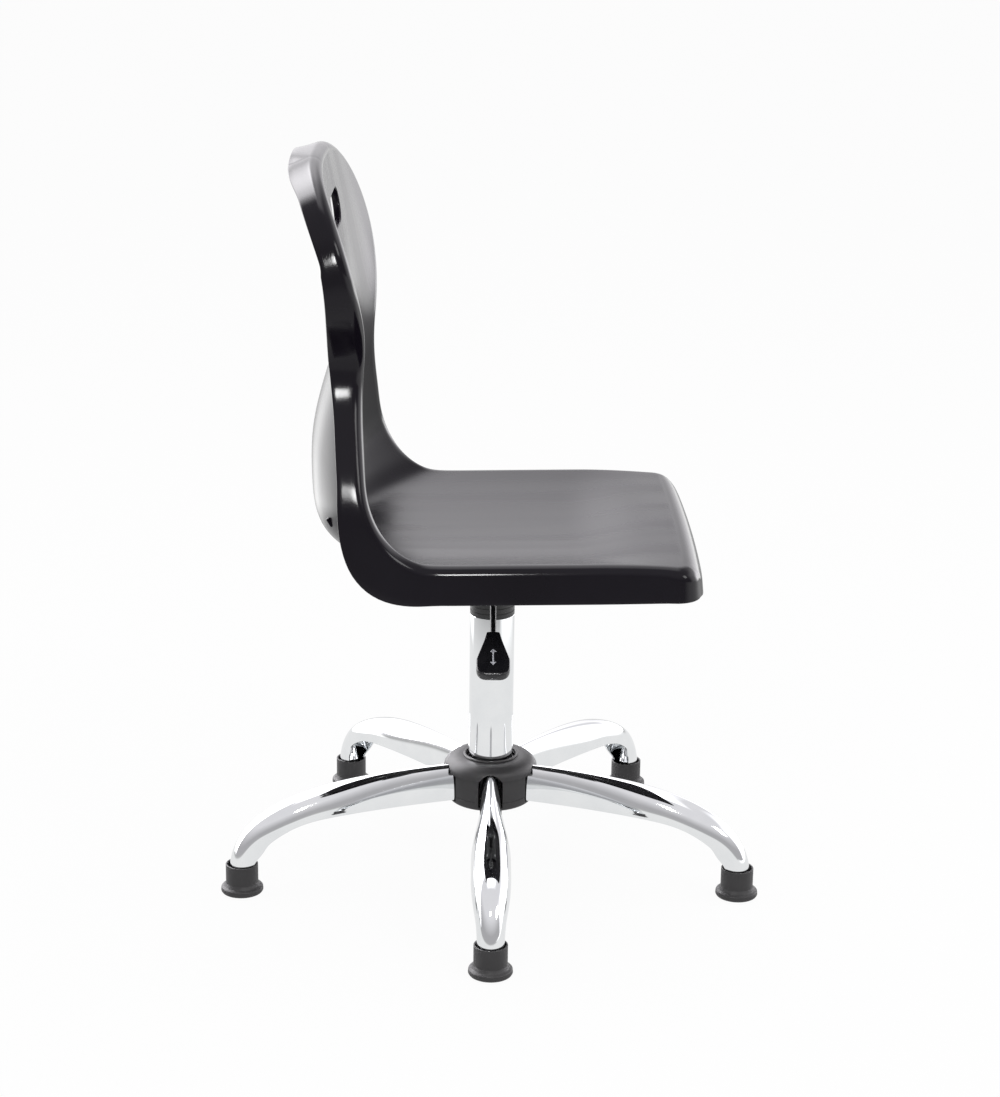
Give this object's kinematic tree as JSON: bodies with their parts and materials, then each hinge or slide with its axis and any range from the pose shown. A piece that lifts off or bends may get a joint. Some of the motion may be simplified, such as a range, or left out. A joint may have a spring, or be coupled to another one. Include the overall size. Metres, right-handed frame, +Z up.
{
  "type": "swivel chair",
  "caption": "Swivel chair with a moulded one-piece shell, a handle hole in the back, a height-adjusting column with a lever and a chromed star base on glides.",
  "frame": {"origin": "on the floor, under the middle of the whole chair's bounding box", "axes": "+Z up, +X towards the front of the seat, -Y towards the side with the lever; the swivel axis is parallel to Z at x 0, y 0.0278"},
  "size_m": [0.6006, 0.5736, 0.8202],
  "materials": {
    "shell_plastic": "satin moulded plastic",
    "chrome": "polished plating",
    "glide_plastic": "fine matte",
    "cover_plastic": "fine matte",
    "bush_plastic": "satin",
    "black_steel": "satin black",
    "bare_steel": "zinc plated or turned",
    "brass": "turned",
    "paddle_plastic": "fine matte",
    "rubber": "matte"
  },
  "bodies": {
    "base": {"hub_core": "bare_steel", "leg_1": "chrome", "leg_2": "chrome", "leg_3": "chrome", "leg_4": "chrome", "leg_5": "chrome", "foot_socket_1": "chrome", "foot_socket_2": "chrome", "foot_socket_3": "chrome", "foot_socket_4": "chrome", "foot_socket_5": "chrome", "glide_1": "glide_plastic", "glide_2": "glide_plastic", "glide_3": "glide_plastic", "glide_4": "glide_plastic", "glide_5": "glide_plastic", "glide_stem_1": "bare_steel", "glide_stem_2": "bare_steel", "glide_stem_3": "bare_steel", "glide_stem_4": "bare_steel", "glide_stem_5": "bare_steel", "hub_cover_upper": "cover_plastic", "hub_cover_lower": "cover_plastic", "column_tube": "chrome", "column_end_plate": "bare_steel", "guide_bush": "bush_plastic", "lower_race": "bare_steel", "ball_cage": "brass", "bearing_balls": "bare_steel"},
    "spindle": {"piston_rod": "bare_steel", "piston": "bare_steel", "upper_race": "bare_steel", "buffer": "rubber", "retaining_clip": "bare_steel"},
    "seat": {"gas_cylinder": "black_steel", "rod_guide": "bare_steel", "rod_seal": "rubber", "taper_socket": "black_steel", "seat_plate": "black_steel", "lever_bracket": "black_steel", "lever_pivot_pin": "bare_steel", "seat_bolts": "bare_steel", "bolt_washers": "bare_steel", "threaded_inserts": "brass", "seat_shell": "shell_plastic"},
    "lever": {"lever_rod": "black_steel", "lever_paddle": "paddle_plastic"},
    "valve": {"valve_pin": "bare_steel"}
  },
  "joints": [
    {"name": "swivel", "type": "hinge", "parent": "base", "child": "spindle", "pos_m": [0, 0.02779, 0.1], "axis": [0, 0, 1], "continuous": true},
    {"name": "height", "type": "slide", "parent": "spindle", "child": "seat", "axis": [0, 0, 1], "range_m": [0, 0.085]},
    {"name": "lever_pull", "type": "hinge", "parent": "seat", "child": "lever", "pos_m": [0, -0.00721, 0.36705], "axis": [-1, 0, 0], "range_deg": [0, 6], "stiffness_Nm_per_rad": 4, "springref_deg": -6.88},
    {"name": "valve_press", "type": "slide", "parent": "seat", "child": "valve", "axis": [0, 0, -1], "range_m": [0, 0.0042]}
  ],
  "couplings": [
    {"joint": "valve_press", "follows": "lever_pull", "m_per_rad": 0.036}
  ]
}
